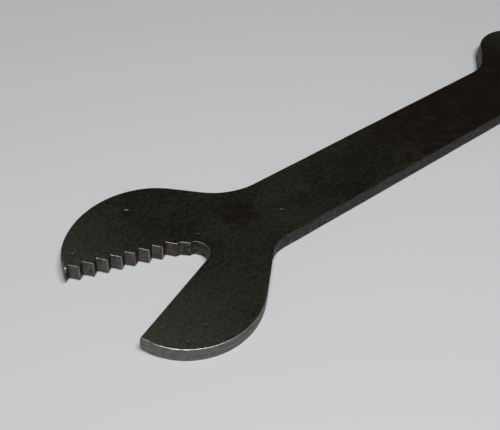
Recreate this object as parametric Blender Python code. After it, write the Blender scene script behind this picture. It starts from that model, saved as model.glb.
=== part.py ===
"""Double-ended alligator wrench, cut and formed from one flat steel plate.

Each head is a V-shaped mouth between a toothed jaw and a smooth jaw. The small head is the large
one turned half a turn, so the two toothed jaws lie on opposite sides of the handle.
Units are metres and +Z is up. The origin is on the underside, midway between the head centres.
In a head's own plan, forward runs from the handle to the mouth, and out runs away from the handle's
middle line.
"""
import math
from collections import namedtuple

import bmesh
import bpy

# Plate and handle
HANDLE_WIDTH = 0.0200
PLATE_THICKNESS = 0.0048
EDGE_RADIUS = 0.0005
HEAD_SPACING = 0.1510

# Large head: toothed jaw, smooth jaw and throat
LARGE_TOOTHED_RADIUS = 0.0244
LARGE_TOOTHED_FORWARD = 0.0024
LARGE_TOOTHED_OUT = 0.00337
LARGE_TOOTHED_NOSE = 0.0168
LARGE_TOOTHED_FILLET = 0.0206
LARGE_SMOOTH_RADIUS = 0.02015
LARGE_SMOOTH_FORWARD = 0.0008
LARGE_SMOOTH_OUT = 0.00713
LARGE_SMOOTH_NOSE = 0.0208
LARGE_SMOOTH_FILLET = 0.0080
LARGE_THROAT_RADIUS = 0.003526
LARGE_THROAT_BACK = 0.006320
LARGE_THROAT_SIDE = 0.001015

# Small head: toothed jaw, smooth jaw and throat
SMALL_TOOTHED_RADIUS = 0.0171
SMALL_TOOTHED_FORWARD = 0.0017
SMALL_TOOTHED_OUT = 0.0051
SMALL_TOOTHED_NOSE = 0.0120
SMALL_TOOTHED_FILLET = 0.0144
SMALL_SMOOTH_RADIUS = 0.0139
SMALL_SMOOTH_FORWARD = 0.0006
SMALL_SMOOTH_OUT = 0.0080
SMALL_SMOOTH_NOSE = 0.0146
SMALL_SMOOTH_FILLET = 0.0127
SMALL_THROAT_RADIUS = 0.0027
SMALL_THROAT_BACK = 0.004230
SMALL_THROAT_SIDE = 0.000713

# Shoulders and jaw faces, alike on both heads
FLANK_ANGLE = math.radians(44.0)
NOSE_START_ANGLE = math.radians(50.0)
TOOTHED_FACE_ANGLE = math.radians(17.2)
SMOOTH_FACE_ANGLE = math.radians(20.6)

# Teeth: each leans towards the throat, with a long face in front and a steep face behind
TOOTH_PITCH = 0.00358
TOOTH_DEPTH = 0.00155
TOOTH_STEEP_RUN = 0.00116

# First, shallow tooth beside the throat
THROAT_END_ANGLE = math.radians(112.0)
THROAT_STEP = 0.00055
THROAT_STEP_ANGLE = math.radians(-18.0)
THROAT_TOOTH_ANGLE = math.radians(30.0)
THROAT_TOOTH_PITCH = 0.0038
THROAT_GULLET_DEPTH = 0.00055

# Fineness of the rounded stretches
ARC_SAG = 0.00002
EDGE_RESOLUTION = 2
WELD_DISTANCE = 0.000001

# Blackened steel
STEEL_COLOUR = (0.028, 0.029, 0.027, 1.0)
STEEL_ROUGHNESS = 0.45
STEEL_METALLIC = 0.8

Jaw = namedtuple("Jaw", "radius forward out nose fillet")
Throat = namedtuple("Throat", "radius back side")
Head = namedtuple("Head", "toothed smooth throat")

LARGE_HEAD = Head(
    toothed=Jaw(LARGE_TOOTHED_RADIUS, LARGE_TOOTHED_FORWARD, LARGE_TOOTHED_OUT,
                LARGE_TOOTHED_NOSE, LARGE_TOOTHED_FILLET),
    smooth=Jaw(LARGE_SMOOTH_RADIUS, LARGE_SMOOTH_FORWARD, LARGE_SMOOTH_OUT,
               LARGE_SMOOTH_NOSE, LARGE_SMOOTH_FILLET),
    throat=Throat(LARGE_THROAT_RADIUS, LARGE_THROAT_BACK, LARGE_THROAT_SIDE),
)
SMALL_HEAD = Head(
    toothed=Jaw(SMALL_TOOTHED_RADIUS, SMALL_TOOTHED_FORWARD, SMALL_TOOTHED_OUT,
                SMALL_TOOTHED_NOSE, SMALL_TOOTHED_FILLET),
    smooth=Jaw(SMALL_SMOOTH_RADIUS, SMALL_SMOOTH_FORWARD, SMALL_SMOOTH_OUT,
               SMALL_SMOOTH_NOSE, SMALL_SMOOTH_FILLET),
    throat=Throat(SMALL_THROAT_RADIUS, SMALL_THROAT_BACK, SMALL_THROAT_SIDE),
)


def clear_scene():
    """Remove every object that is already in the scene."""
    for thing in list(bpy.data.objects):
        bpy.data.objects.remove(thing, do_unlink=True)


def polar(centre, radius, angle):
    """The point at an angle on a circle."""
    return (centre[0] + radius * math.cos(angle), centre[1] + radius * math.sin(angle))


def arc(centre, radius, start, end):
    """Points on an arc, close enough together to keep the sag of each chord under ARC_SAG."""
    step = 2.0 * math.acos(1.0 - ARC_SAG / radius)
    count = max(2, math.ceil(abs(end - start) / step))
    return [polar(centre, radius, start + (end - start) * i / count) for i in range(count + 1)]


def jaw_outline(jaw):
    """Outer edge of one jaw from its foremost point back to the handle, as (forward, out) points.

    A nose arc runs into the round back of the jaw, a straight flank leaves that at FLANK_ANGLE, and
    a fillet turns the flank into the handle's edge.
    """
    centre = (jaw.forward, jaw.out)
    nose_centre = polar(centre, jaw.radius - jaw.nose, NOSE_START_ANGLE)
    flank_normal = math.pi / 2 + FLANK_ANGLE
    flank_start = polar(centre, jaw.radius, flank_normal)
    edge = HANDLE_WIDTH / 2
    corner = flank_start[0] - (flank_start[1] - edge) / math.tan(FLANK_ANGLE)
    fillet_centre = (corner - jaw.fillet * math.tan(FLANK_ANGLE / 2), edge + jaw.fillet)
    nose = arc(nose_centre, jaw.nose, 0.0, NOSE_START_ANGLE)
    back = arc(centre, jaw.radius, NOSE_START_ANGLE, flank_normal)
    fillet = arc(fillet_centre, jaw.fillet, flank_normal - math.pi, -math.pi / 2)
    return nose + back[1:] + fillet


def head_outline(head):
    """Outer edge of a head without its mouth, from the toothed side of the handle to the smooth one."""
    toothed = [(forward, out) for forward, out in reversed(jaw_outline(head.toothed))]
    smooth = [(forward, -out) for forward, out in jaw_outline(head.smooth)]
    return toothed + smooth


def mouth_outline(head):
    """The V-shaped mouth with its round throat and its row of teeth, run out past the jaws' noses.

    The throat's arc ends at a short step out to the tip of a shallow tooth. The next tip is one pitch
    further along the slant of that tooth. From there the tips lie on the straight toothed face, and the
    gullets are cut into the jaw behind it.
    """
    throat = head.throat
    centre = (-throat.back, -throat.side)
    reach = throat.back + head.toothed.forward + 2.0 * head.toothed.radius
    round_end = arc(centre, throat.radius, 1.5 * math.pi - SMOOTH_FACE_ANGLE, THROAT_END_ANGLE)
    teeth = [polar(round_end[-1], THROAT_STEP, THROAT_STEP_ANGLE)]
    for index in range(math.ceil(reach / TOOTH_PITCH)):
        angle = TOOTHED_FACE_ANGLE if index else THROAT_TOOTH_ANGLE
        pitch = TOOTH_PITCH if index else THROAT_TOOTH_PITCH
        depth = TOOTH_DEPTH if index else THROAT_GULLET_DEPTH
        tip = teeth[-1]
        foot = polar(tip, pitch - TOOTH_STEEP_RUN, angle)
        teeth.append(polar(foot, depth, angle + math.pi / 2))
        teeth.append(polar(tip, pitch, angle))
    smooth_start = round_end[0]
    smooth_run = teeth[-1][0] - smooth_start[0]
    smooth_end = (teeth[-1][0], smooth_start[1] - smooth_run * math.tan(SMOOTH_FACE_ANGLE))
    return round_end + teeth + [smooth_end]


def place_large(points):
    """Plan points of the large head in the world: its mouth opens towards -X, its teeth are on +Y."""
    return [(-HEAD_SPACING / 2 - forward, out) for forward, out in points]


def place_small(points):
    """Plan points of the small head in the world: its mouth opens towards +X, its teeth are on -Y."""
    return [(HEAD_SPACING / 2 + forward, -out) for forward, out in points]


def flat_solid(name, points, half_thickness, edge_radius):
    """A closed mesh of a flat outline, with its rim rounded inside the outline."""
    curve = bpy.data.curves.new(name, "CURVE")
    curve.dimensions = "2D"
    curve.fill_mode = "BOTH"
    curve.extrude = half_thickness - edge_radius
    curve.bevel_depth = edge_radius
    curve.bevel_resolution = EDGE_RESOLUTION
    curve.offset = -edge_radius
    spline = curve.splines.new("POLY")
    spline.points.add(len(points) - 1)
    for point, (x, y) in zip(spline.points, points):
        point.co = (x, y, 0.0, 1.0)
    spline.use_cyclic_u = True
    outline = bpy.data.objects.new(name + "_outline", curve)
    bpy.context.scene.collection.objects.link(outline)
    evaluated = outline.evaluated_get(bpy.context.evaluated_depsgraph_get())
    mesh = bpy.data.meshes.new_from_object(evaluated)
    mesh.name = name
    bpy.data.objects.remove(outline, do_unlink=True)
    work = bmesh.new()
    work.from_mesh(mesh)
    bmesh.ops.remove_doubles(work, verts=work.verts, dist=WELD_DISTANCE)
    bmesh.ops.recalc_face_normals(work, faces=work.faces)
    work.to_mesh(mesh)
    work.free()
    return mesh


def steel_material():
    """Blackened steel."""
    material = bpy.data.materials.new("blackened_steel")
    material.use_nodes = True
    shader = material.node_tree.nodes["Principled BSDF"]
    shader.inputs["Base Color"].default_value = STEEL_COLOUR
    shader.inputs["Roughness"].default_value = STEEL_ROUGHNESS
    shader.inputs["Metallic"].default_value = STEEL_METALLIC
    return material


def new_collection(name):
    """A collection in the scene."""
    collection = bpy.data.collections.new(name)
    bpy.context.scene.collection.children.link(collection)
    return collection


def mouth_cutter(name, points, collection):
    """A cutter of a mouth's plan that passes through both faces of the plate."""
    cutter = bpy.data.objects.new(name, flat_solid(name, points, PLATE_THICKNESS, 0.0))
    cutter.location.z = PLATE_THICKNESS / 2
    cutter.display_type = "WIRE"
    cutter.hide_render = True
    collection.objects.link(cutter)
    return cutter


def cut(thing, cutter):
    """Take a cutter's shape out of an object."""
    boolean = thing.modifiers.new(cutter.name, "BOOLEAN")
    boolean.operation = "DIFFERENCE"
    boolean.solver = "EXACT"
    boolean.object = cutter


def main():
    """Build the wrench."""
    clear_scene()
    parts = new_collection("alligator_wrench")
    cutters = new_collection("cutters")
    outline = place_large(head_outline(LARGE_HEAD)) + place_small(head_outline(SMALL_HEAD))
    wrench = bpy.data.objects.new(
        "wrench_body", flat_solid("wrench_body", outline, PLATE_THICKNESS / 2, EDGE_RADIUS))
    wrench.location.z = PLATE_THICKNESS / 2
    wrench.data.materials.append(steel_material())
    parts.objects.link(wrench)
    cut(wrench, mouth_cutter("large_mouth", place_large(mouth_outline(LARGE_HEAD)), cutters))
    cut(wrench, mouth_cutter("small_mouth", place_small(mouth_outline(SMALL_HEAD)), cutters))


main()
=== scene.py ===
# %% [markdown]
# Alligator wrench
#
# The wrench is one flat piece of blackened steel. A V-shaped mouth is cut into each end, with a row of
# teeth on one jaw and a plain face on the other. This lesson takes the plain solid of that plate as a
# fixed frame and dresses it: the facets become round curves, every edge gets the small radius that use
# gives it, and the surface gets its oxide, its dull sides and its bright worn edges.

# %% Load the frame
import math

import bmesh
import bpy
import numpy as np
from mathutils import Matrix
from mathutils import Vector
from mathutils.geometry import delaunay_2d_cdt


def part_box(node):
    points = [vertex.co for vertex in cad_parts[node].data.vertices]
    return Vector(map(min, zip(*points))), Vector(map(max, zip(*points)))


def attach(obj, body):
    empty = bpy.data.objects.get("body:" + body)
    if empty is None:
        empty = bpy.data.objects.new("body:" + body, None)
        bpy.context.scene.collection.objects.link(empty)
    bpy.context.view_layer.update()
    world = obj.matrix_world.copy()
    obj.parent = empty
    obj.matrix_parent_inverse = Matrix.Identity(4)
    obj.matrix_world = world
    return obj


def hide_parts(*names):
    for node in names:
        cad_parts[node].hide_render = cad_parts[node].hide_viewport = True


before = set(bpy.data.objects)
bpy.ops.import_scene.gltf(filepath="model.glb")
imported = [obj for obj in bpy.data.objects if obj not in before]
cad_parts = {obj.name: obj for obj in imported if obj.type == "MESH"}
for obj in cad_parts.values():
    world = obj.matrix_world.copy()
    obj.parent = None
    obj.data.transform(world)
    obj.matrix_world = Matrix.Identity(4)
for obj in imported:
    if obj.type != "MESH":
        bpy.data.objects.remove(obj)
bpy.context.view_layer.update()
MILLIMETRE = 0.001
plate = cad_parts["wrench_body"]
plate_low, plate_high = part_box("wrench_body")
THICKNESS = plate_high.z - plate_low.z
print("plate", [round(side / MILLIMETRE, 2) for side in plate_high - plate_low], "mm")

# %% [markdown]
# The outline of the plate
#
# Everything about this tool is in its plan, so the first thing to get is that plan. It could be drawn
# again here, but then two drawings would have to agree. Instead the solid itself is sliced with a level
# plane. The slice's edges come in no order, and converting them to a curve makes Blender walk round them.

# %% Slice the solid
WELD_DISTANCE = 0.001 * MILLIMETRE
# A spline's points have x, y, z and a weight
SPLINE_COORDINATES = 4


def outline_at(solid, height):
    """The closed outline where a level plane cuts a solid, anticlockwise, as an array of (x, y) rows."""
    cut = bmesh.new()
    cut.from_mesh(solid.data)
    bmesh.ops.remove_doubles(cut, verts=cut.verts, dist=WELD_DISTANCE)
    everything = cut.verts[:] + cut.edges[:] + cut.faces[:]
    bmesh.ops.bisect_plane(cut, geom=everything, plane_co=(0, 0, height), plane_no=(0, 0, 1),
                           clear_inner=True, clear_outer=True)
    mesh = bpy.data.meshes.new("slice")
    cut.to_mesh(mesh)
    cut.free()
    slice_edges = bpy.data.objects.new("slice", mesh)
    bpy.context.scene.collection.objects.link(slice_edges)
    bpy.ops.object.select_all(action="DESELECT")
    bpy.context.view_layer.objects.active = slice_edges
    slice_edges.select_set(True)
    bpy.ops.object.convert(target="CURVE")
    slice_curve = bpy.context.view_layer.objects.active
    points = slice_curve.data.splines[0].points
    rows = np.empty(len(points) * SPLINE_COORDINATES)
    points.foreach_get("co", rows)
    bpy.data.objects.remove(slice_curve)
    plan = rows.reshape(-1, SPLINE_COORDINATES)[:, :2]
    following = np.roll(plan, -1, axis=0)
    area = np.sum(plan[:, 0] * following[:, 1] - plan[:, 1] * following[:, 0]) / 2
    return plan if area > 0 else plan[::-1]


middle_outline = outline_at(plate, plate_low.z + THICKNESS / 2)
face_outline = outline_at(plate, plate_high.z - 2 * WELD_DISTANCE)
print("outline points:", len(middle_outline), "at mid height,", len(face_outline), "at the face")

# %% [markdown]
# Round curves out of facets
#
# On the real wrench the shoulders and the throat are smooth curves, while the solid has short straight
# facets. Blurring the outline along its own length melts the facets together. The same blur would eat the
# teeth, so two blurs are made, a broad one for the curves and a fine one for the corners, and each stretch
# takes the one that suits it. A point counts as a corner where the outline turns sharply.

# %% Blur the outline
SAMPLE_STEP = 0.04 * MILLIMETRE
BROAD_BLUR = 0.8 * MILLIMETRE
FINE_BLUR = 0.13 * MILLIMETRE
CORNER_SPAN = 0.3 * MILLIMETRE
CORNER_TURN = math.radians(20)
CORNER_REACH = 1.0 * MILLIMETRE
CORNER_GAIN = 12.0


def even_loop(loop, step):
    """The same closed loop with its points one step apart, found by length run along it."""
    closed = np.vstack([loop, loop[:1]])
    run = np.concatenate([[0.0], np.cumsum(np.linalg.norm(np.diff(closed, axis=0), axis=1))])
    places = np.linspace(0.0, run[-1], round(run[-1] / step), endpoint=False)
    return np.column_stack([np.interp(places, run, closed[:, axis]) for axis in (0, 1)])


def blur(values, width):
    """Gaussian blur round the loop: a wave of frequency f is scaled by exp(-2 (pi width f)^2)."""
    frequency = np.fft.rfftfreq(len(values), SAMPLE_STEP)
    keep = np.exp(-2.0 * (math.pi * width * frequency) ** 2)
    waves = np.fft.rfft(values, axis=0)
    return np.fft.irfft((waves.T * keep).T, len(values), axis=0)


def turn_along(loop, span):
    """The angle from the chord behind each point to the chord ahead, each one span long, left positive."""
    reach = round(span / SAMPLE_STEP)
    ahead = np.roll(loop, -reach, axis=0) - loop
    behind = loop - np.roll(loop, reach, axis=0)
    cross = behind[:, 0] * ahead[:, 1] - behind[:, 1] * ahead[:, 0]
    return np.arctan2(cross, np.sum(ahead * behind, axis=1))


raw_loop = even_loop(middle_outline, SAMPLE_STEP)
is_corner = (np.abs(turn_along(raw_loop, CORNER_SPAN)) > CORNER_TURN).astype(float)
corner_share = np.clip(CORNER_GAIN * blur(is_corner, CORNER_REACH), 0.0, 1.0)
broad_loop = blur(raw_loop, BROAD_BLUR)
fine_loop = blur(raw_loop, FINE_BLUR)
print("samples", len(raw_loop), "of which near corners", np.count_nonzero(corner_share > 0.5))

# %% [markdown]
# Which stretches belong to a mouth
#
# The solid has a rounded rim on the outside, and its mouths were cut after it and have none. The distance
# from the outline at mid height to the outline of the flat face is that rim, so it tells the two apart.

# %% Measure the rim


def distance_to_loop(points, loop):
    """Shortest distance from each point to the straight pieces of a closed loop."""
    along = np.roll(loop, -1, axis=0) - loop
    length = np.maximum(np.sum(along * along, axis=1), WELD_DISTANCE ** 2)
    from_start = points[:, None, :] - loop[None, :, :]
    share = np.clip(np.sum(from_start * along, axis=2) / length, 0.0, 1.0)
    return np.min(np.linalg.norm(from_start - share[:, :, None] * along, axis=2), axis=1)


measured_rim = distance_to_loop(raw_loop, face_outline)
outer_rim = np.max(measured_rim)
is_mouth = (measured_rim < outer_rim / 2).astype(float)
print("outer rim", round(outer_rim / MILLIMETRE, 3), "mm, share in mouths", round(np.mean(is_mouth), 3))

# %% [markdown]
# Edges and noses
#
# A plate that is punched out of a sheet comes away with one face drawn round at its edges and the other
# left sharp, and a mouth that is cut afterwards has sharp edges on both. So each stretch has two radii,
# one above and one below. A nose is the corner where a mouth meets the outside, where the two kinds of
# rim change over. A nose is knocked against everything and has the largest radii of all, but the last of
# a row of teeth keeps more of its corner. How many corners lie around a nose tells how far it counts as
# toothed: much on the large head, and only a little on the small one, where fewer corners are near.

# %% Find and round the noses
NOSE_REACH = 1.5 * MILLIMETRE
WORN_NOSE_REACH = 2.6 * MILLIMETRE
NOSE_GAIN = 1.5
NOSE_BLUR = 0.22 * MILLIMETRE
CROWD_REACH = 3.0 * MILLIMETRE
CROWD_NONE = 0.10
CROWD_FULL = 0.18


def bells(marks, reach):
    """A bell of height NOSE_GAIN round every marked sample, from the blur of the marks, cut off at one."""
    height = NOSE_GAIN * reach * math.sqrt(2.0 * math.pi) / SAMPLE_STEP
    return np.clip(height * blur(marks, reach), 0.0, 1.0)


crowd = (blur(is_corner, CROWD_REACH) - CROWD_NONE) / (CROWD_FULL - CROWD_NONE)
toothed = np.clip(crowd, 0.0, 1.0)
change_over = np.abs(is_mouth - np.roll(is_mouth, 1))
nose = bells(change_over, NOSE_REACH)
smooth_nose = nose * (1.0 - toothed)
worn_nose = bells(change_over, WORN_NOSE_REACH) * (1.0 - toothed)
soft_loop = broad_loop + corner_share[:, None] * (fine_loop - broad_loop)
soft_loop = soft_loop + smooth_nose[:, None] * (blur(raw_loop, NOSE_BLUR) - soft_loop)
at_noses = change_over > 0.0
print("noses", np.count_nonzero(at_noses), "toothed by", np.round(toothed[at_noses], 2))

# %% Give every stretch its two radii
EDGE_BLUR = 0.8 * MILLIMETRE
NOSE_SIDE_BLUR = 0.30 * MILLIMETRE
BACK_START = 55.0 * MILLIMETRE
BACK_END = 70.0 * MILLIMETRE
# Radii of the upper and the lower edge
HANDLE_EDGES = np.array([0.25, 0.60]) * MILLIMETRE
SMOOTH_BACK_EDGES = np.array([0.25, 0.50]) * MILLIMETRE
TOOTHED_BACK_EDGES = np.array([0.36, 0.40]) * MILLIMETRE
MOUTH_EDGES = np.array([0.20, 0.22]) * MILLIMETRE
SMOOTH_NOSE_EDGES = np.array([0.85, 1.15]) * MILLIMETRE
TOOTHED_NOSE_EDGES = np.array([0.10, 0.16]) * MILLIMETRE

mouth_share = blur(is_mouth, EDGE_BLUR)
on_head = np.clip((np.abs(raw_loop[:, 0]) - BACK_START) / (BACK_END - BACK_START), 0.0, 1.0)
smooth_side = raw_loop[:, 0] * raw_loop[:, 1] > 0.0
back_edges = np.where(smooth_side[:, None], SMOOTH_BACK_EDGES, TOOTHED_BACK_EDGES)
outer_edges = HANDLE_EDGES + on_head[:, None] * (back_edges - HANDLE_EDGES)
plain_edges = outer_edges + mouth_share[:, None] * (MOUTH_EDGES - outer_edges)
nose_edges = SMOOTH_NOSE_EDGES + toothed[:, None] * (TOOTHED_NOSE_EDGES - SMOOTH_NOSE_EDGES)
outer_nose = (nose * toothed + worn_nose) * (1.0 - blur(is_mouth, NOSE_SIDE_BLUR))
worn_edges = plain_edges + outer_nose[:, None] * (nose_edges - plain_edges)
print("largest radii above and below", np.round(worn_edges.max(axis=0) / MILLIMETRE, 2), "mm")

# %% [markdown]
# Hand work and hard use
#
# The teeth were cut one by one and have bitten into a lot of steel, so no two are quite alike. Random
# numbers blurred along the loop give a smooth wander with a known reach. It pushes the outline inward
# along its normal, more in the mouths than outside, and one tooth has lost its tip. The normals come from
# a blurred outline, because at a tooth's tip the true ones fan out so fast that an inset ring would cross
# itself.

# %% Wander along the outline
WANDER_SEED = 11
WANDER_REACH = 0.55 * MILLIMETRE
TOOTH_WANDER = 0.035 * MILLIMETRE
SIDE_WANDER = 0.012 * MILLIMETRE
CHIPPED_TIP = np.array([-81.93, 7.16]) * MILLIMETRE
CHIP_DEPTH = 0.22 * MILLIMETRE
CHIP_REACH = 0.55 * MILLIMETRE
NORMAL_BLUR = 0.45 * MILLIMETRE
NOSE_NORMAL_BLUR = 1.5 * MILLIMETRE
random_draw = np.random.default_rng(WANDER_SEED)


def wander(reach):
    """Random numbers along the loop, blurred over a reach and scaled to a spread of one."""
    values = blur(random_draw.standard_normal(len(raw_loop)), reach)
    return values / np.std(values)


def inward_normals(loop):
    """Unit normals into the area inside an anticlockwise loop: the blurred loop's tangent turned left."""
    calm = blur(loop, NORMAL_BLUR)
    calm = calm + nose[:, None] * (blur(loop, NOSE_NORMAL_BLUR) - calm)
    along = np.roll(calm, -1, axis=0) - np.roll(calm, 1, axis=0)
    along = along / np.linalg.norm(along, axis=1)[:, None]
    return np.column_stack([-along[:, 1], along[:, 0]])


chip = CHIP_DEPTH * np.exp(-np.sum((soft_loop - CHIPPED_TIP) ** 2, axis=1) / CHIP_REACH ** 2)
spread = SIDE_WANDER + (TOOTH_WANDER - SIDE_WANDER) * mouth_share * corner_share
push = chip + np.abs(spread * wander(WANDER_REACH))
worn_loop = soft_loop + push[:, None] * inward_normals(soft_loop)
print("deepest push", round(np.max(push) / MILLIMETRE, 3), "mm")

# %% [markdown]
# Points for the path
#
# A mesh wants many points round a tooth and few along the handle. Each stretch gets the spacing it needs,
# and the running total of one over that spacing tells where the next point falls. The radii of the edges
# wander by about a tenth, because no edge wears evenly.

# %% Choose the path points
CORNER_SPACING = 0.11 * MILLIMETRE
PLAIN_SPACING = 0.34 * MILLIMETRE
EDGE_WANDER = 0.12
EDGE_WANDER_REACH = 2.0 * MILLIMETRE
EDGE_WANDER_LIMIT = 2.0

spacing = PLAIN_SPACING + (CORNER_SPACING - PLAIN_SPACING) * corner_share
points_so_far = np.concatenate([[0.0], np.cumsum(SAMPLE_STEP / spacing)])
path_count = int(points_so_far[-1])
sample_place = np.interp(np.linspace(0.0, points_so_far[-1], path_count, endpoint=False),
                         points_so_far, np.arange(len(points_so_far)))


def along_path(values):
    """A value known at every sample of the loop, read at the chosen path points."""
    closed = np.concatenate([values, values[:1]])
    return np.interp(sample_place, np.arange(len(closed)), closed)


def plan_along_path(loop):
    """The plan points of a loop at the chosen path points."""
    return np.column_stack([along_path(loop[:, 0]), along_path(loop[:, 1])])


path = plan_along_path(worn_loop)
inward = plan_along_path(inward_normals(worn_loop))
edge_wander = np.clip(wander(EDGE_WANDER_REACH), -EDGE_WANDER_LIMIT, EDGE_WANDER_LIMIT)
edge_share = 1.0 + EDGE_WANDER * edge_wander
upper_edge = along_path(worn_edges[:, 0] * edge_share)
lower_edge = along_path(worn_edges[:, 1] * edge_share)
in_mouth = along_path(mouth_share)
turn_here = along_path(blur(turn_along(fine_loop, CORNER_SPAN), CORNER_SPAN / 2))
print("path points", path_count)

# %% [markdown]
# The side of the plate
#
# The side is a section carried along the path: a quarter round, a wall, and a quarter round below, with a
# narrow ring of the flat face on either end so that the shading of the round stops where the flat starts.
# The surface is a function of two parameters, the place along the path and the row of the section. Use
# has knocked the foremost tooth's corner down a little from above, and has worn the feet of the large
# head's two noses up from below.

# %% Rows of the section
ROUND_STEPS = 5
WALL_STEPS = 6
OUTER_LAND = 0.35 * MILLIMETRE
MOUTH_LAND = 0.06 * MILLIMETRE

round_angle = np.linspace(0.0, math.pi / 2, ROUND_STEPS + 1)
wall_drop = np.linspace(0.0, 1.0, WALL_STEPS + 1)[1:-1]
near_corner = np.maximum(in_mouth, along_path(corner_share))
land = OUTER_LAND + (MOUTH_LAND - OUTER_LAND) * near_corner
ring_inset = np.maximum(upper_edge, lower_edge) + land
row_ring = np.concatenate([[1.0], np.zeros(2 * ROUND_STEPS + WALL_STEPS + 1), [1.0]])
row_inset = np.concatenate([[0.0], 1.0 - np.sin(round_angle), 0.0 * wall_drop, 0.0 * round_angle, [0.0]])
row_drop = np.concatenate([[0.0], 1.0 - np.cos(round_angle), 1.0 - wall_drop, 0.0 * round_angle, [0.0]])
row_base = np.concatenate([np.ones(ROUND_STEPS + 2), 1.0 - wall_drop, np.zeros(ROUND_STEPS + 2)])
row_count = len(row_base)
print("rows", row_count)

# %% Carry the section along the path
KNOCKED_CORNER = np.array([-98.5, 12.9]) * MILLIMETRE
KNOCK_REACH = 0.65 * MILLIMETRE
KNOCK_DEPTH = 0.40 * MILLIMETRE
WORN_FEET = np.array([(-98.5, 12.9), (-94.7, -14.6)]) * MILLIMETRE
FOOT_REACH = np.array([1.1, 1.7]) * MILLIMETRE
FOOT_RISE = np.array([0.60, 0.70]) * MILLIMETRE


def knock(plan):
    """How far the knocked corner goes down: depth times exp(-d^2), with d the distance in reaches."""
    away = np.sum((plan - KNOCKED_CORNER) ** 2, axis=-1) / KNOCK_REACH ** 2
    return KNOCK_DEPTH * np.exp(-away)


def foot(plan):
    """How far the feet of the two noses are worn up: a bell of the same kind round each."""
    away = np.sum((plan[..., None, :] - WORN_FEET) ** 2, axis=-1) / FOOT_REACH ** 2
    return np.sum(FOOT_RISE * np.exp(-away), axis=-1)


def side_surface():
    """Points of the side as (row, place, xyz).

    The plan point moves inward by the row's share of the upper edge, by the mirrored row's share of the
    lower edge, and on the outermost rows to the ring. The height is the row's share of the thickness less
    the knock, plus the other share of the worn foot, less the row's drop below the upper edge, plus its
    rise over the lower one.
    """
    inset = row_inset[:, None] * upper_edge + row_inset[::-1, None] * lower_edge
    inset = inset + row_ring[:, None] * ring_inset
    plan = path[None, :, :] + inset[:, :, None] * inward[None, :, :]
    height = plate_low.z + row_base[:, None] * (THICKNESS - knock(plan))
    height = height + (1.0 - row_base[:, None]) * foot(plan)
    height = height - row_drop[:, None] * upper_edge + row_drop[::-1, None] * lower_edge
    return np.concatenate([plan, height[:, :, None]], axis=2)


side_points = side_surface()
print("side grid", side_points.shape)

# %% [markdown]
# Dents
#
# A tool that is thrown into a box gathers dents. Each one here is a line in a table: where it is, how
# long and how wide, how deep it goes and which way it points. The lower face gets the same table mirrored.

# %% List the dents
# Columns that follow x and y
DENT_LENGTH, DENT_WIDTH, DENT_DEPTH, DENT_TURN = range(2, 6)
# Dents of the upper face: x, y, length, width and depth in millimetres, and turn in degrees
UPPER_DENTS = np.array([
    (-75.97, 20.75, 0.95, 0.80, 0.17, -35.0),
    (-94.8, 16.0, 0.50, 0.35, 0.14, -30.0),
    (-93.2, 16.7, 0.40, 0.30, 0.12, 60.0),
    (-65.1, 3.6, 0.50, 0.35, 0.13, -35.0),
    (-59.4, 17.8, 0.50, 0.35, 0.11, 45.0),
    (-80.4, -20.4, 0.50, 0.40, 0.12, -35.0),
    (-86.5, -21.9, 0.50, 0.35, 0.14, -35.0),
    (-67.0, -6.8, 0.35, 0.30, 0.12, -35.0),
    (-41.4, -2.1, 0.90, 0.40, 0.14, -35.0),
    (-39.4, -2.6, 1.10, 0.35, 0.05, 75.0),
    (-14.1, -0.3, 1.20, 0.40, 0.05, 30.0),
    (38.5, 4.0, 0.70, 0.35, 0.06, -40.0),
    (71.0, -12.5, 0.60, 0.40, 0.10, 10.0),
])
MIRROR = (-1.0, 1.0, 1.0, 1.0, 1.0, -1.0)
LOWER_DENTS = UPPER_DENTS * MIRROR


def dent_axes(plan, dents):
    """Where every plan point is along and across every dent, in half lengths and half widths."""
    turn = np.radians(dents[:, DENT_TURN])
    away = plan[:, None, :] - dents[None, :, :2] * MILLIMETRE
    along = away[:, :, 0] * np.cos(turn) + away[:, :, 1] * np.sin(turn)
    across = away[:, :, 1] * np.cos(turn) - away[:, :, 0] * np.sin(turn)
    return along / (dents[:, DENT_LENGTH] * MILLIMETRE), across / (dents[:, DENT_WIDTH] * MILLIMETRE)


def dent_distance(plan, dents):
    """Distance from every plan point to every dent, in the dent's own half lengths and half widths."""
    return np.hypot(*dent_axes(plan, dents))


print("dents", len(UPPER_DENTS), "on each face")

# %% [markdown]
# The flat faces
#
# Both flats share one plan, the innermost ring of the side. A fan of long triangles could fill it, but
# then nothing on the face could move. So the ring is filled with a net of points, closer together round
# the dents, and triangulated.

# %% Scatter points over the flat
NET_SPACING = 0.85 * MILLIMETRE
NET_MARGIN = 0.45 * MILLIMETRE
DENT_RINGS = (0.3, 0.6, 0.9, 1.25, 1.7)
DENT_SPOKES = 14
DENT_ROOM = 2.2
# Points of a dent that agree to this many digits of a millimetre are one point
POINT_DIGITS = 6

ring = side_points[0, :, :2]
ring_count = len(ring)
# Every second point is enough to tell where a point lies
coarse_ring = ring[::2]


def inside_loop(points, loop):
    """Which points lie inside a closed loop: a ray to +X crosses it an odd number of times."""
    x, y = points[:, :1], points[:, 1:]
    following = np.roll(loop, -1, axis=0)
    crosses = (loop[:, 1] > y) != (following[:, 1] > y)
    rise = np.where(following[:, 1] == loop[:, 1], 1.0, following[:, 1] - loop[:, 1])
    crossing = loop[:, 0] + (y - loop[:, 1]) * (following[:, 0] - loop[:, 0]) / rise
    return np.count_nonzero(crosses & (x < crossing), axis=1) % 2 == 1


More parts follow.
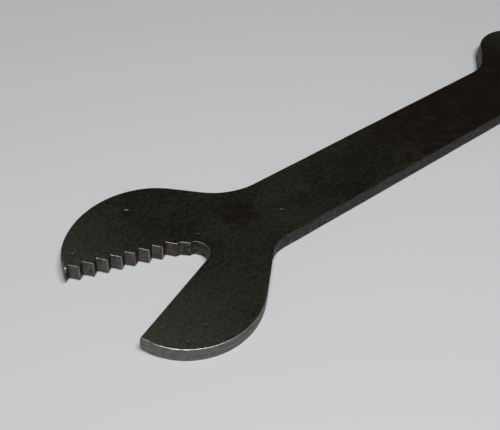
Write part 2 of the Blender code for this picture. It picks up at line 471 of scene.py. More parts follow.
def dent_stars(dents):
    """Rings of points round each dent: a circle stretched to the dent's length and width, and turned."""
    radius, spoke = np.meshgrid((0.0,) + DENT_RINGS, np.arange(DENT_SPOKES) * 2 * math.pi / DENT_SPOKES)
    along = dents[:, [DENT_LENGTH]] * (radius * np.cos(spoke)).ravel()
    across = dents[:, [DENT_WIDTH]] * (radius * np.sin(spoke)).ravel()
    turn = np.radians(dents[:, [DENT_TURN]])
    x = dents[:, 0:1] + along * np.cos(turn) - across * np.sin(turn)
    y = dents[:, 1:2] + along * np.sin(turn) + across * np.cos(turn)
    return np.unique(np.column_stack([x.ravel(), y.ravel()]).round(POINT_DIGITS), axis=0) * MILLIMETRE


def net_points():
    """A net of staggered rows over the plan, with stars of points at the dents, kept off the rim."""
    low, high = ring.min(axis=0), ring.max(axis=0)
    x, y = np.meshgrid(np.arange(low[0], high[0], NET_SPACING), np.arange(low[1], high[1], NET_SPACING))
    x = x + (np.arange(len(x)) % 2)[:, None] * NET_SPACING / 2
    rows = np.column_stack([x.ravel(), y.ravel()])
    dents = np.concatenate([UPPER_DENTS, LOWER_DENTS])
    rows = rows[np.all(dent_distance(rows, dents) > DENT_ROOM, axis=1)]
    found = np.concatenate([rows, dent_stars(dents)])
    found = found[inside_loop(found, coarse_ring)]
    return found[distance_to_loop(found, coarse_ring) > NET_MARGIN]


net = net_points()
print("net points", len(net))

# %% Triangulate the flat
# What the triangulation gives back: the triangles inside the ring
TRIANGLES_INSIDE = 1
JOIN_DISTANCE = WELD_DISTANCE / 10
plan_points = np.concatenate([ring, net])
ring_order = np.arange(ring_count)
ring_edges = np.column_stack([ring_order, np.roll(ring_order, -1)]).tolist()
filled_points, _, filled_triangles, *_ = delaunay_2d_cdt(
    [Vector(point) for point in plan_points.tolist()], ring_edges, [], TRIANGLES_INSIDE, JOIN_DISTANCE)
flat_triangles = np.array(filled_triangles)
crossings = filled_points[len(plan_points):]
if crossings:
    raise ValueError(f"the ring of the flat crosses itself at {crossings}")
print("triangles in each flat", len(flat_triangles))

# %% [markdown]
# Heights over the flat
#
# Rolled plate is never quite level, so the faces get a slow swell of a hundredth of a millimetre, which
# only shows in the reflections. A dent is a bell-shaped pit, and the metal that it displaced stands up
# round it as a lip. On the face that the tool lies on, what stands proud has been rubbed off.

# %% Swell and dents
SWELL_HEIGHT = 0.012 * MILLIMETRE
SWELL_LENGTH = 17 * MILLIMETRE
# Waves of the swell: how fast each runs along x and y, and where it starts
SWELL_WAVES = np.array([(2.1, 1.3, 0.0), (-1.1, 3.7, 1.0)])
LIP_SHARE = 0.35
EDGE_FADE = 2.0 * MILLIMETRE


def relief(plan, dents):
    """Height over the flat: two crossed swells below it, and for each dent a pit with a lip.

    With d the distance from a dent in its own half widths, the pit is -depth exp(-d^2) (1 - lip d^4).
    """
    wave = plan / SWELL_LENGTH @ SWELL_WAVES[:, :2].T + SWELL_WAVES[:, 2]
    swell = SWELL_HEIGHT * np.mean(np.sin(wave) - 1.0, axis=1)
    away = dent_distance(plan, dents) ** 2
    pits = -dents[:, DENT_DEPTH] * MILLIMETRE * np.exp(-away) * (1.0 - LIP_SHARE * away ** 2)
    return swell + np.sum(pits, axis=1)


edge_fade = np.clip(distance_to_loop(plan_points, coarse_ring) / EDGE_FADE, 0.0, 1.0)
upper_height = relief(plan_points, UPPER_DENTS) * edge_fade - knock(plan_points)
lower_height = np.minimum(relief(plan_points, LOWER_DENTS) * edge_fade, 0.0)
highest, deepest = upper_height.max() / MILLIMETRE, upper_height.min() / MILLIMETRE
print("relief from", round(deepest, 3), "to", round(highest, 3), "mm")

# %% [markdown]
# One closed mesh
#
# The side grid closes on itself along the path, and each flat shares its ring with the grid's outermost
# row. Only the inner points of the flats are new, so the whole skin is closed with no doubled points. A
# closed skin has two faces at every edge, and if they all point outwards its volume is positive.

# %% Join side and flats
net_upper = np.column_stack([net, plate_high.z + upper_height[ring_count:]])
net_lower = np.column_stack([net, plate_low.z - lower_height[ring_count:] + foot(net)])
all_points = np.concatenate([side_points.reshape(-1, 3), net_upper, net_lower])
side_size = row_count * path_count


def side_quads():
    """Corner numbers of the side's quads, which wrap round the path."""
    number = np.arange(side_size).reshape(row_count, path_count)
    beside = np.roll(number, -1, axis=1)
    return np.stack([number[:-1], number[1:], beside[1:], beside[:-1]], axis=2).reshape(-1, 4)


def flat_faces(ring_start, net_start):
    """The flat's triangles with ring and net numbers moved to their places in the whole mesh."""
    return np.where(flat_triangles < ring_count, flat_triangles + ring_start,
                    flat_triangles - ring_count + net_start)


upper_faces = flat_faces(0, side_size)
lower_faces = flat_faces(side_size - path_count, side_size + len(net))[:, ::-1]
wrench_mesh = bpy.data.meshes.new("worn_plate")
wrench_mesh.from_pydata(all_points.tolist(), [],
                        side_quads().tolist() + upper_faces.tolist() + lower_faces.tolist())
wrench_mesh.shade_smooth()
wrench = bpy.data.objects.new("worn_plate", wrench_mesh)
bpy.context.scene.collection.objects.link(wrench)

check = bmesh.new()
check.from_mesh(wrench_mesh)
volume = check.calc_volume(signed=True)
check.free()
edge_uses = np.empty(len(wrench_mesh.loops), dtype=np.int32)
wrench_mesh.loops.foreach_get("edge_index", edge_uses)
open_edges = np.count_nonzero(np.bincount(edge_uses) != 2)
wrench_mesh.calc_loop_triangles()
print("volume", round(volume / MILLIMETRE ** 3), "mm3, open edges", open_edges)
print("triangles", len(wrench_mesh.loop_triangles))

# %% [markdown]
# What the finish needs to know
#
# The finish depends on where a point is: on the flat, on the rim, on the wall, on a tooth's tip or its
# steep face, on a dent's lip or in its pit. The grid knows all that already, so it is stored on the points
# as named numbers that the material reads. That holds better than asking the shader to find edges again. A
# tooth's face is steep where the outline, blurred a little, turns away from the run of the whole row.

# %% Measure the places along the path
TIP_TURN = math.radians(55)
FACE_BLUR = 0.15 * MILLIMETRE
ROW_BLUR = 4.0 * MILLIMETRE
STEEP_NONE = math.radians(20)
STEEP_FULL = math.radians(45)
BACK_DULL = 0.65
NOSE_DULL = 0.90


def heading(loop, width):
    """The direction of the loop after a blur, as complex numbers of length one."""
    calm = blur(loop, width)
    along = np.roll(calm, -1, axis=0) - np.roll(calm, 1, axis=0)
    return (along[:, 0] + 1j * along[:, 1]) / np.linalg.norm(along, axis=1)


lean = np.angle(heading(raw_loop, FACE_BLUR) / heading(raw_loop, ROW_BLUR))
steep_share = np.clip((lean - STEEP_NONE) / (STEEP_FULL - STEEP_NONE), 0.0, 1.0) * is_mouth * toothed
steep = along_path(steep_share)
tip = np.clip(turn_here / TIP_TURN, 0.0, 1.0) * (1.0 - along_path(nose))
worn_smooth = along_path(worn_nose)
toothed_back = along_path(on_head * (1.0 - mouth_share) * np.where(smooth_side, 0.0, 1.0))
# A rim is less bright at the worn noses and the toothed backs, and not at all on steep faces
rim_place = (1.0 - NOSE_DULL * worn_smooth) * (1.0 - steep) * (1.0 - BACK_DULL * toothed_back)
print("share of steep faces", round(np.mean(steep_share), 4))

# %% Measure the places over the dents
DEEP_DENT = 0.20 * MILLIMETRE
LIP_PLACE = 0.85
LIP_WIDTH = 0.40
PIT_SHADE_PLACE = 0.70
DENT_MIDDLE = 0.1


def by_depth(shares, dents):
    """Shares of every dent added up, each by the dent's depth, and held to at most one."""
    return np.clip(np.sum(shares * dents[:, DENT_DEPTH] * MILLIMETRE / DEEP_DENT, axis=1), 0.0, 1.0)


def lit_lip_halves(dents):
    """How far each net point lies on the lit half of a dent's lip, a painted highlight: half a ring round
    the dent.
    """
    across = dent_axes(net, dents)[1]
    away = dent_distance(net, dents)
    ring_round = np.exp(-((away - LIP_PLACE) / LIP_WIDTH) ** 2)
    # Only one half of the ring, the side that catches the light, is made bare: a painted highlight
    half = np.clip(across / np.maximum(away, DENT_MIDDLE), 0.0, 1.0)
    return by_depth(half * ring_round, dents)


def painted_pit_shade(dents):
    """How far each net point gets painted shade in a dent: a bell moved to the side away from the lip."""
    along, across = dent_axes(net, dents)
    return by_depth(np.exp(-along ** 2 - (across + PIT_SHADE_PLACE) ** 2), dents)


print("on lips", np.count_nonzero(lit_lip_halves(UPPER_DENTS) > 0.5), "points of the upper face")

# %% Store the places on the mesh
WALL_EDGE = 0.35
NOSE_COVER = 0.80
inset_row = row_inset + row_inset[::-1] + row_ring
side_row = 1.0 - inset_row
# A parabola that is one half way round the edge, and a smaller share on the rows where the wall ends
rim_row = 4.0 * inset_row * (1.0 - inset_row)
wall_ends = [ROUND_STEPS + 1, -ROUND_STEPS - 2]
rim_row[wall_ends] = WALL_EDGE
# The wall's finish fades out round the edge, less so at the worn noses, and stops at the flat
wall_place = 1.0 - np.outer(inset_row, 1.0 - NOSE_COVER * worn_smooth)
wall_place[np.isclose(inset_row, 1.0)] = 0.0
no_net = np.zeros(len(net))


def store(name, on_side, on_upper=no_net, on_lower=no_net):
    """Keep one number on every point of the mesh: the side's rows, then the nets of the two flats."""
    kept = wrench_mesh.attributes.new(name, "FLOAT", "POINT")
    values = np.concatenate([on_side.ravel(), on_upper, on_lower])
    kept.data.foreach_set("value", values.astype(np.float32))


knocked_side = row_base[:, None] * knock(side_points[:, :, :2]) / KNOCK_DEPTH
upper_lips = np.maximum(lit_lip_halves(UPPER_DENTS), knock(net) / KNOCK_DEPTH)
store("wall", wall_place)
store("rim", np.outer(rim_row, rim_place))
store("mouth", np.outer(np.ones(row_count), in_mouth))
store("tip", np.outer(side_row, tip))
# The steep number drives painted shade on the teeth's steep faces
store("steep", np.outer(side_row, steep))
# The lip number is bare metal: the knocked corner from wear, the lit half of each dent's lip as a painted
# highlight
store("lip", knocked_side, upper_lips, lit_lip_halves(LOWER_DENTS))
# The pit number is painted shade in each dent, on the side away from its lit lip
store("pit", np.zeros(side_size), painted_pit_shade(UPPER_DENTS), painted_pit_shade(LOWER_DENTS))
print("stored", [item.name for item in wrench_mesh.attributes if item.data_type == "FLOAT"])

# %% [markdown]
# Small helpers for shader nodes
#
# A node setup in code is mostly making nodes and joining sockets. A few helpers with plain names keep the
# recipes below short enough to read as recipes.

# %% Shader helpers
# Socket numbers of Blender's Mix node, for numbers and for colours
NUMBER_FIRST = 2
NUMBER_SECOND = 3
COLOUR_FIRST = 6
COLOUR_SECOND = 7
COLOUR_RESULT = 2


def shader_node(tree, kind, sockets, **settings):
    """Add a node, set its properties, and fill its sockets with values or with links."""
    made = tree.nodes.new(kind)
    for name, value in settings.items():
        setattr(made, name, value)
    for socket, value in sockets.items():
        if isinstance(value, bpy.types.NodeSocket):
            tree.links.new(value, made.inputs[socket])
        else:
            made.inputs[socket].default_value = value
    return made


def combine(tree, operation, first, second):
    """One of Blender's math operations on two numbers."""
    return shader_node(tree, "ShaderNodeMath", {0: first, 1: second}, operation=operation).outputs[0]


def weighted(tree, parts):
    """The sum of numbers, each times its weight."""
    total = 0.0
    for value, weight in parts:
        sockets = {0: value, 1: weight, 2: total}
        total = shader_node(tree, "ShaderNodeMath", sockets, operation="MULTIPLY_ADD").outputs[0]
    return total


def stretch(tree, value, low, high, to_low=0.0, to_high=1.0):
    """Carry the stretch from low to high smoothly onto another stretch, and hold it there outside."""
    sockets = {"Value": value, "From Min": low, "From Max": high, "To Min": to_low, "To Max": to_high}
    return shader_node(tree, "ShaderNodeMapRange", sockets, interpolation_type="SMOOTHSTEP").outputs[0]


def blend(tree, share, first, second):
    """A colour between two colours."""
    sockets = {0: share, COLOUR_FIRST: first, COLOUR_SECOND: second}
    return shader_node(tree, "ShaderNodeMix", sockets, data_type="RGBA").outputs[COLOUR_RESULT]


def between(tree, share, first, second):
    """A number between two numbers."""
    sockets = {0: share, NUMBER_FIRST: first, NUMBER_SECOND: second}
    return shader_node(tree, "ShaderNodeMix", sockets).outputs[0]


def noise(tree, position, size, detail=2.0, turn=0.0):
    """Cloudy noise with blobs of a size in millimetres along x, y and z, turned about the vertical."""
    sockets = {"Vector": position, "Scale": Vector(size) * MILLIMETRE, "Rotation": (0.0, 0.0, turn)}
    moved = shader_node(tree, "ShaderNodeMapping", sockets, vector_type="TEXTURE")
    sockets = {"Vector": moved.outputs[0], "Scale": 1.0, "Detail": detail}
    return shader_node(tree, "ShaderNodeTexNoise", sockets).outputs[0]


def new_group(name, inputs, outputs):
    """A node group with named sockets, and its entry and exit."""
    group = bpy.data.node_groups.new(name, "ShaderNodeTree")
    for label, kind in inputs:
        group.interface.new_socket(label, in_out="INPUT", socket_type=kind)
    for label, kind in outputs:
        group.interface.new_socket(label, in_out="OUTPUT", socket_type=kind)
    entry = group.nodes.new("NodeGroupInput")
    leave = group.nodes.new("NodeGroupOutput")
    return group, entry.outputs, leave.inputs


NUMBER = "NodeSocketFloat"
COLOUR = "NodeSocketColor"
VECTOR = "NodeSocketVector"
print("helpers ready")

# %% [markdown]
# Oxide on the flats
#
# The flats keep the dark skin that the steel got when it was blackened: nearly black, a little green, with
# lighter clouds where it has been handled, brown where it has begun to rust, and a fine grain all over.
# Noise at several sizes gives those things. Rust starts where hands leave sweat, so it is strongest round
# a spot at the neck. Towards the far end of the handle the flats turn darker and browner, partly as rust
# and partly as painted shade. The ends of the jaws are lighter, the smooth jaws a little more than the
# toothed ones, partly as oxide rubbed by the work and partly as painted sheen.

# %% Rust and rubbing
RUST_SIZE = (4.0, 2.4, 3.0)
RUST_TURN = math.radians(-40)
RUST_SPOT = Vector((-51.5, 4.5, 4.8)) * MILLIMETRE
RUST_SPOT_REACH = 9.0 * MILLIMETRE
RUST_AND_SHADE_START = -25.0 * MILLIMETRE
RUST_AND_SHADE_END = 30.0 * MILLIMETRE
# Weights of the rust patches, the neck spot, and the painted shade towards the far end
RUST_SHARES = (1.0, 0.30, 0.41)
RUST_STRETCH = (0.52, 0.92)
RUST_MOST = 0.95
RUB_AND_SHEEN_START = 67.0 * MILLIMETRE
RUB_AND_SHEEN_END = 101.0 * MILLIMETRE
SMOOTH_RUB_AND_SHEEN = 0.18


def split(tree, position):
    """The x, y and z of a position."""
    return shader_node(tree, "ShaderNodeSeparateXYZ", {0: position}).outputs


def rust_and_far_shade_mask(tree, place):
    """How rusty and how shaded: patches of noise, raised round the spot at the neck and, as painted shade,
    towards the far end.
    """
    patches = noise(tree, place, RUST_SIZE, detail=5.0, turn=RUST_TURN)
    spot = shader_node(tree, "ShaderNodeVectorMath", {0: place, 1: RUST_SPOT}, operation="DISTANCE")
    near_spot = stretch(tree, spot.outputs["Value"], RUST_SPOT_REACH, 0.0)
    # Painted shade: darker and browner towards the far end of the handle
    far_shade = stretch(tree, split(tree, place)["X"], RUST_AND_SHADE_START, RUST_AND_SHADE_END)
    level = weighted(tree, zip((patches, near_spot, far_shade), RUST_SHARES))
    return stretch(tree, level, *RUST_STRETCH, 0.0, RUST_MOST)


def rub_and_sheen_mask(tree, place, mottle):
    """How rubbed, and painted sheen: more towards either end, a little more towards the smooth jaw, and
    mottled.
    """
    apart = split(tree, place)
    to_end = combine(tree, "ABSOLUTE", apart["X"], 0.0)
    to_smooth = combine(tree, "MULTIPLY", apart["Y"], combine(tree, "SIGN", apart["X"], 0.0))
    reach = weighted(tree, [(to_end, 1.0), (to_smooth, SMOOTH_RUB_AND_SHEEN)])
    return combine(tree, "MULTIPLY", stretch(tree, reach, RUB_AND_SHEEN_START, RUB_AND_SHEEN_END), mottle)


print("rust grows from", round(RUST_AND_SHADE_START / MILLIMETRE), "to", round(RUST_AND_SHADE_END / MILLIMETRE), "mm")

# %% Oxide group
OXIDE_DARK = (0.0024, 0.0023, 0.0011, 1.0)
OXIDE_LIGHT = (0.0150, 0.0188, 0.0108, 1.0)
OXIDE_BROWN = (0.0172, 0.0172, 0.0103, 1.0)
RUST_AND_SHADE_BROWN = (0.0060, 0.0025, 0.0011, 1.0)
OXIDE_RUBBED_AND_SHEEN = (0.0430, 0.0480, 0.0340, 1.0)
CLOUD_SIZE = (16.0, 16.0, 16.0)
MOTTLE_SIZE = (0.95, 0.95, 0.95)
TINT_SIZE = (1.8, 1.8, 1.8)
GRAIN_SIZE = (0.45, 0.45, 0.45)
TONE_SHARES = (0.35, 0.42, 0.38)
TONE_STRETCH = (0.44, 0.72)
TINT_STRETCH = (0.40, 0.60)
SKIN_SHINE_STRETCH = (0.35, 0.85)
SKIN_ROUGHNESS = (0.45, 0.35)
SKIN_HEIGHTS = (1.0, 0.6)


def oxide_group():
    """Dark oxide: clouds between two colours, rust in patches, and a fine grain in the height."""
    outputs = [("Colour", COLOUR), ("Roughness", NUMBER), ("Height", NUMBER)]
    group, entry, leave = new_group("oxide_skin", [("Position", VECTOR)], outputs)
    place = entry["Position"]
    clouds = noise(group, place, CLOUD_SIZE, detail=3.0)
    mottle = noise(group, place, MOTTLE_SIZE, detail=4.0)
    tint = noise(group, place, TINT_SIZE, detail=4.0)
    grain = noise(group, place, GRAIN_SIZE)
    tone = weighted(group, zip((clouds, mottle, grain), TONE_SHARES))
    light = blend(group, stretch(group, tint, *TINT_STRETCH), OXIDE_LIGHT, OXIDE_BROWN)
    skin = blend(group, stretch(group, tone, *TONE_STRETCH), OXIDE_DARK, light)
    rust_and_far_shade = blend(group, rust_and_far_shade_mask(group, place), skin, RUST_AND_SHADE_BROWN)
    # Lighter towards the ends of the jaws: partly rubbed oxide, partly painted sheen
    worn = blend(group, rub_and_sheen_mask(group, place, mottle), rust_and_far_shade, OXIDE_RUBBED_AND_SHEEN)
    group.links.new(worn, leave["Colour"])
    group.links.new(stretch(group, tone, *SKIN_SHINE_STRETCH, *SKIN_ROUGHNESS), leave["Roughness"])
    group.links.new(weighted(group, zip((mottle, grain), SKIN_HEIGHTS)), leave["Height"])
    return group


oxide_skin = oxide_group()
print("group", oxide_skin.name, "nodes", len(oxide_skin.nodes))

# %% [markdown]
# Scuffs on the flats
#
# Sliding over benches and other tools leaves fine scratches, in a few directions and in patches. Noise
# that is drawn out into long strands passes through its middle value along thin lines, and those lines,
# broken up by a second noise, make the scratches.

# %% Scuff group
# For each direction the turn in radians, and the size of the strands in millimetres
SCUFF_STRANDS = ((0.35, (9.0, 0.55, 9.0)), (-0.80, (7.0, 0.70, 7.0)), (1.30, (6.0, 0.45, 6.0)))
SCUFF_WIDTH = 0.022
SCUFF_PATCH_SIZE = (5.0, 5.0, 5.0)
SCUFF_PATCH_STRETCH = (0.50, 0.68)
NOISE_MIDDLE = 0.5


def scuff_group():
    """Mask of scratches: for each direction, how near the drawn-out noise is to its middle, in patches."""
    group, entry, leave = new_group("scuffs", [("Position", VECTOR)], [("Scuff", NUMBER)])
    place = entry["Position"]
    scuff = 0.0
    for turn, size in SCUFF_STRANDS:
        strand = noise(group, place, size, detail=1.0, turn=turn)
        off_middle = combine(group, "ABSOLUTE", combine(group, "SUBTRACT", strand, NOISE_MIDDLE), 0.0)
        line = stretch(group, off_middle, SCUFF_WIDTH, 0.0)
        patch = stretch(group, noise(group, place, SCUFF_PATCH_SIZE, turn=turn), *SCUFF_PATCH_STRETCH)
        scuff = combine(group, "MAXIMUM", scuff, combine(group, "MULTIPLY", line, patch))
    group.links.new(scuff, leave["Scuff"])
    return group


scuffs = scuff_group()
print("group", scuffs.name, "nodes", len(scuffs.nodes))

# %% [markdown]
# Dull steel on the sides
#
# The sides were sheared, filed and broached after the plate was rolled, and the thin oxide there has worn
# to grey steel. The heads are rubbed most, so their sides are the lightest. The handle's sides are dull
# and are painted darker towards the far end in a rust brown, as painted shade. The teeth's steep faces are
# painted dark, as painted shade. File marks run along the outer sides and straight up and down in the
# mouths, so one noise is drawn out in plan and another in height, and the mouth number chooses between
# them.

# %% Side group
SIDE_DARK = (0.026, 0.027, 0.025, 1.0)
SIDE_LIGHT = (0.164, 0.174, 0.154, 1.0)
MOUTH_DARK = (0.022, 0.018, 0.017, 1.0)
MOUTH_LIGHT = (0.121, 0.105, 0.097, 1.0)
LENGTHWISE_SIZE = (6.0, 6.0, 0.5)
UPRIGHT_SIZE = (0.20, 0.20, 3.3)
SIDE_PATCH_SIZE = (1.3, 1.3, 1.3)
# Weights of the marks, the patches, the head, and the painted shade of the steep faces
SIDE_SHARES = (0.38, 0.45, 0.25, -0.28)
OUTER_STRETCH = (0.37, 0.77)
INNER_STRETCH = (0.46, 0.74)
SIDE_SHINE_STRETCH = (0.30, 0.85)
SIDE_ROUGHNESS = (0.58, 0.42)
FAR_SIDE_SHADE = 0.35


def side_group():
    """Grey steel with marks along the outer sides, upright marks in the mouths, and painted shade on steep
    faces and towards the far end.
    """
    inputs = [("Position", VECTOR), ("Mouth", NUMBER), ("Steep shade", NUMBER), ("Head", NUMBER)]
    outputs = [("Colour", COLOUR), ("Roughness", NUMBER), ("Height", NUMBER)]
    group, entry, leave = new_group("side_steel", inputs, outputs)
    place = entry["Position"]
    lengthwise = noise(group, place, LENGTHWISE_SIZE)
    upright = noise(group, place, UPRIGHT_SIZE, detail=3.0)
    patches = noise(group, place, SIDE_PATCH_SIZE, detail=4.0)
    marks = between(group, entry["Mouth"], lengthwise, upright)
    # The steep share darkens the tone: painted shade on the teeth's steep faces
    tone = weighted(group, zip((marks, patches, entry["Head"], entry["Steep shade"]), SIDE_SHARES))
    grey = blend(group, stretch(group, tone, *OUTER_STRETCH), SIDE_DARK, SIDE_LIGHT)
    # Painted shade: the handle's sides turn darker towards the far end, in a rust brown
    rust_and_far_shade = stretch(group, split(group, place)["X"], RUST_AND_SHADE_START, RUST_AND_SHADE_END, 0.0, FAR_SIDE_SHADE)
    outer = blend(group, rust_and_far_shade, grey, RUST_AND_SHADE_BROWN)
    inner = blend(group, stretch(group, tone, *INNER_STRETCH), MOUTH_DARK, MOUTH_LIGHT)
    group.links.new(blend(group, entry["Mouth"], outer, inner), leave["Colour"])
    group.links.new(stretch(group, tone, *SIDE_SHINE_STRETCH, *SIDE_ROUGHNESS), leave["Roughness"])
    group.links.new(marks, leave["Height"])
    return group


side_steel = side_group()
print("group", side_steel.name, "nodes", len(side_steel.nodes))

# %% [markdown]
# Bright worn edges
#
# Handling polishes the edges first, and unevenly: long rubbed stretches with gaps, and flecks. The edge
# number from the mesh is multiplied by noise and cut off at a level, which gives a ragged border.

# %% Edge wear group
WEAR_SIZE = (7.0, 7.0, 7.0)
FLECK_SIZE = (0.5, 0.5, 0.5)
WEAR_SHARES = (0.6, 0.4)
WEAR_BASE = 0.25
WEAR_STRETCH = (0.30, 0.80)


def wear_group():
    """Mask of bare metal: the edge number times noise of two sizes, cut off between two levels."""
    inputs = [("Position", VECTOR), ("Edge", NUMBER)]
    group, entry, leave = new_group("edge_wear", inputs, [("Bare", NUMBER)])
    stretches = noise(group, entry["Position"], WEAR_SIZE, detail=3.0)
    flecks = noise(group, entry["Position"], FLECK_SIZE, detail=3.0)
    ragged = weighted(group, zip((stretches, flecks), WEAR_SHARES))
    level = combine(group, "MULTIPLY", entry["Edge"], combine(group, "ADD", ragged, WEAR_BASE))
    group.links.new(stretch(group, level, *WEAR_STRETCH), leave["Bare"])
    return group


edge_wear = wear_group()
print("group", edge_wear.name, "nodes", len(edge_wear.nodes))

# %% [markdown]
# The steel
#
# The material puts the groups together: oxide on the flats, grey steel on the walls, painted shade in the
# dents, and bare bright steel on worn edges and, as a painted highlight, on the lit half of the dents'
# lips.
# Bare metal is metallic and the oxide is not, so the same mask drives the metallic value. The edges of the
# mouths bite, so the bare metal there is rougher and has small burrs, as a bump. What is the same all
# over, such as the specular level, is set on the shader itself.

# %% Bare metal and burrs
HANDLE_WEAR = 0.50
SCUFF_BARE = 0.02
GRAIN_HEIGHT = 0.012 * MILLIMETRE
BURR_SIZE = (0.25, 0.25, 0.25)
BURR_SHARE = 8.0


def use_group(tree, group, sockets):
    """Place a node group in a material."""
    made = tree.nodes.new("ShaderNodeGroup")
    made.node_tree = group
    for name, value in sockets.items():
        tree.links.new(value, made.inputs[name])
    return made.outputs


def stored(tree, name):
    """Read a number that the mesh keeps on its points."""
    return shader_node(tree, "ShaderNodeAttribute", {}, attribute_name=name).outputs["Fac"]


def bare_metal(tree, place, head):
    """Where the steel is bare: worn edges, tooth tips, scratches, and as a painted highlight the dents'
    lips.
    """
    worn = between(tree, head, HANDLE_WEAR, 1.0)
    rim = combine(tree, "MULTIPLY", stored(tree, "rim"), worn)
    proud = combine(tree, "MAXIMUM", stored(tree, "tip"), stored(tree, "lip"))
    edge = combine(tree, "MAXIMUM", rim, proud)
    bare = use_group(tree, edge_wear, {"Position": place, "Edge": edge})["Bare"]
    scuff = use_group(tree, scuffs, {"Position": place})["Scuff"]
    return combine(tree, "MAXIMUM", bare, combine(tree, "MULTIPLY", scuff, SCUFF_BARE))


def fine_relief(tree, place, plain, bitten):
    """A bump of the plain grain, with burrs added where a mouth's edge is bitten bare."""
    burr = combine(tree, "MULTIPLY", noise(tree, place, BURR_SIZE), bitten)
    height = weighted(tree, [(plain, 1.0), (burr, BURR_SHARE)])
    sockets = {"Strength": 1.0, "Distance": GRAIN_HEIGHT, "Height": height}
    return shader_node(tree, "ShaderNodeBump", sockets).outputs[0]


print("burrs", BURR_SIZE[0], "mm across")

# %% Blackened steel
BARE_STEEL = (0.50, 0.49, 0.47, 1.0)
BARE_ROUGHNESS = 0.29
BITTEN_ROUGHNESS = 0.38
WALL_METAL = 0.60
WALL_STRETCH = (0.25, 0.95)
SPECULAR_LEVEL = 0.18
HANDLE_END = 50.0 * MILLIMETRE
HEAD_START = 82.0 * MILLIMETRE


def blackened_steel():
    """Oxide on the flats, grey steel on the walls, painted shade in the dents, bare metal at the worn
    edges.
    """
    material = bpy.data.materials.new("blackened_steel")
    material.use_nodes = True
    tree = material.node_tree
    shader = tree.nodes["Principled BSDF"]
    place = tree.nodes.new("ShaderNodeTexCoord").outputs["Object"]
    to_end = combine(tree, "ABSOLUTE", split(tree, place)["X"], 0.0)
    head = stretch(tree, to_end, HANDLE_END, HEAD_START)
    on_wall = stretch(tree, stored(tree, "wall"), *WALL_STRETCH)
    mouth = stored(tree, "mouth")
    oxide = use_group(tree, oxide_skin, {"Position": place})
    side_sockets = {"Position": place, "Mouth": mouth, "Steep shade": stored(tree, "steep"), "Head": head}
    side = use_group(tree, side_steel, side_sockets)
    bare = bare_metal(tree, place, head)
    skin = blend(tree, on_wall, oxide["Colour"], side["Colour"])
    # Painted shade: the pit number darkens the dents towards the oxide's darkest colour
    pit_shaded = blend(tree, stored(tree, "pit"), skin, OXIDE_DARK)
    tree.links.new(blend(tree, bare, pit_shaded, BARE_STEEL), shader.inputs["Base Color"])
    rough = between(tree, on_wall, oxide["Roughness"], side["Roughness"])
    bare_rough = between(tree, mouth, BARE_ROUGHNESS, BITTEN_ROUGHNESS)
    tree.links.new(between(tree, bare, rough, bare_rough), shader.inputs["Roughness"])
    metal = combine(tree, "MULTIPLY", on_wall, WALL_METAL)
    tree.links.new(combine(tree, "MAXIMUM", metal, bare), shader.inputs["Metallic"])
    grain = between(tree, on_wall, oxide["Height"], side["Height"])
    bitten = combine(tree, "MULTIPLY", bare, mouth)
    tree.links.new(fine_relief(tree, place, grain, bitten), shader.inputs["Normal"])
    shader.inputs["Specular IOR Level"].default_value = SPECULAR_LEVEL
    return material


wrench_mesh.materials.append(blackened_steel())
print("material", wrench_mesh.materials[0].name)

# %% [markdown]
# Floor
#
# The tool lies on a plain pale top. A single large face is enough, because nothing on it should draw the
# eye. Its colour is well below white, so that the light on it can vary without clipping. A real plate is
# never flat enough to touch all over. This one rests on two edges, the back of the large smooth jaw and
# the back of the small toothed one, and the large teeth stand half a millimetre clear. So the top falls
# away a little from a line through those two edges, and gives way under them by up to a third of a
# millimetre, as a slightly soft top does.

# %% Floor
FLOOR_SIZE = 6.0
FLOOR_FALL = 0.025
REST_NEAR = np.array([-76.3, -15.3]) * MILLIMETRE
REST_FAR = np.array([77.2, -13.2]) * MILLIMETRE
FLOOR_COLOUR = (0.56, 0.565, 0.58, 1.0)
FLOOR_ROUGHNESS = 0.7
floor_plan = np.array([(-1, -1), (1, -1), (1, 1), (-1, 1)]) * FLOOR_SIZE / 2
rest_slope = (REST_FAR - REST_NEAR)[1] / (REST_FAR - REST_NEAR)[0]
# How far along y each corner of the floor lies beyond the line through the two rests
beyond_rest = floor_plan[:, 1] - REST_NEAR[1] - rest_slope * (floor_plan[:, 0] - REST_NEAR[0])
floor_points = np.column_stack([floor_plan, plate_low.z - FLOOR_FALL * beyond_rest])
floor_mesh = bpy.data.meshes.new("floor")
floor_mesh.from_pydata(floor_points.tolist(), [], [(0, 1, 2, 3)])
floor = bpy.data.objects.new("floor", floor_mesh)
bpy.context.scene.collection.objects.link(floor)
floor_finish = bpy.data.materials.new("pale_top")
floor_finish.use_nodes = True
floor_shader = floor_finish.node_tree.nodes["Principled BSDF"]
floor_shader.inputs["Base Color"].default_value = FLOOR_COLOUR
floor_shader.inputs["Roughness"].default_value = FLOOR_ROUGHNESS
floor_mesh.materials.append(floor_finish)
print("floor", FLOOR_SIZE, "m")

# %% [markdown]
# Light
#
# One wide soft lamp hangs high over the camera and shines straight down. From there it draws a bright line
# along the rim of the smooth jaw and lights the floor evenly. The flat dark faces mirror the far side of
# the room, which is dim, so they stay dark, and the walls are lit by the pale floor in front of them. A
# grey world fills the rest. Together they light the floor to about the colour it is written with.

# %% Lamp and world
LAMP_PLACE = (-0.155, -0.19, 0.72)
LAMP_WIDTH = 0.48
LAMP_DEPTH = 0.20
LAMP_POWER = 6.0
WORLD_GREY = 0.08

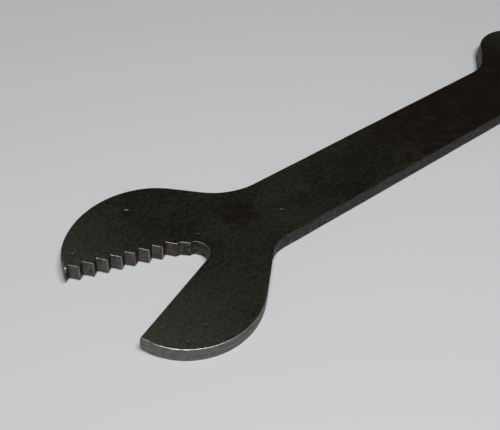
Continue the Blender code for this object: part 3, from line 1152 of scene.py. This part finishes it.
lamp = bpy.data.lights.new("overhead", "AREA")
lamp.shape = "RECTANGLE"
lamp.size = LAMP_WIDTH
lamp.size_y = LAMP_DEPTH
lamp.energy = LAMP_POWER
lamp_holder = bpy.data.objects.new("overhead", lamp)
lamp_holder.location = LAMP_PLACE
bpy.context.scene.collection.objects.link(lamp_holder)
world = bpy.data.worlds.new("studio")
world.use_nodes = True
background = world.node_tree.nodes["Background"]
background.inputs["Color"].default_value = (WORLD_GREY, WORLD_GREY, WORLD_GREY, 1.0)
bpy.context.scene.world = world
bpy.context.scene.view_settings.view_transform = "Standard"
print("lamp", lamp.energy, "W,", LAMP_PLACE[2], "m up")

# %% [markdown]
# Camera
#
# The camera stands close to the large head and looks down along the tool, so the head looks big and the
# far end runs out of the picture. Its place is a point on the table that it aims at, a distance, and three
# angles. The focal length is written in pixels of the picture, and Blender's lens follows from it.

# %% Set the camera
IMAGE_WIDTH = 500
FOCAL_PIXELS = 785.1
SENSOR_WIDTH = 36.0
NEAREST_SEEN = 0.01
AIM_POINT = Vector((-46.58, 4.53, 0.0)) * MILLIMETRE
CAMERA_DISTANCE = 216.3 * MILLIMETRE
CAMERA_AZIMUTH = math.radians(-133.72)
CAMERA_ELEVATION = math.radians(46.93)
CAMERA_ROLL = math.radians(-6.90)

backward = Vector((math.cos(CAMERA_ELEVATION) * math.cos(CAMERA_AZIMUTH),
                   math.cos(CAMERA_ELEVATION) * math.sin(CAMERA_AZIMUTH),
                   math.sin(CAMERA_ELEVATION)))
rightward = (-backward).cross(Vector((0, 0, 1))).normalized()
downward = (-backward).cross(rightward)
turned_right = math.cos(CAMERA_ROLL) * rightward + math.sin(CAMERA_ROLL) * downward
turned_down = -math.sin(CAMERA_ROLL) * rightward + math.cos(CAMERA_ROLL) * downward
camera_data = bpy.data.cameras.new("camera")
camera_data.sensor_width = SENSOR_WIDTH
camera_data.lens = FOCAL_PIXELS * SENSOR_WIDTH / IMAGE_WIDTH
camera_data.clip_start = NEAREST_SEEN
camera = bpy.data.objects.new("camera", camera_data)
bpy.context.scene.collection.objects.link(camera)
camera_turn = Matrix((turned_right, -turned_down, backward)).transposed().to_4x4()
camera.matrix_world = Matrix.Translation(AIM_POINT + CAMERA_DISTANCE * backward) @ camera_turn
bpy.context.scene.camera = camera
print("lens", round(camera_data.lens, 2), "mm")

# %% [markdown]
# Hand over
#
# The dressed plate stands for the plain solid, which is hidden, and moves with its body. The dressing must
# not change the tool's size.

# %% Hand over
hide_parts("wrench_body")
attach(wrench, "root")
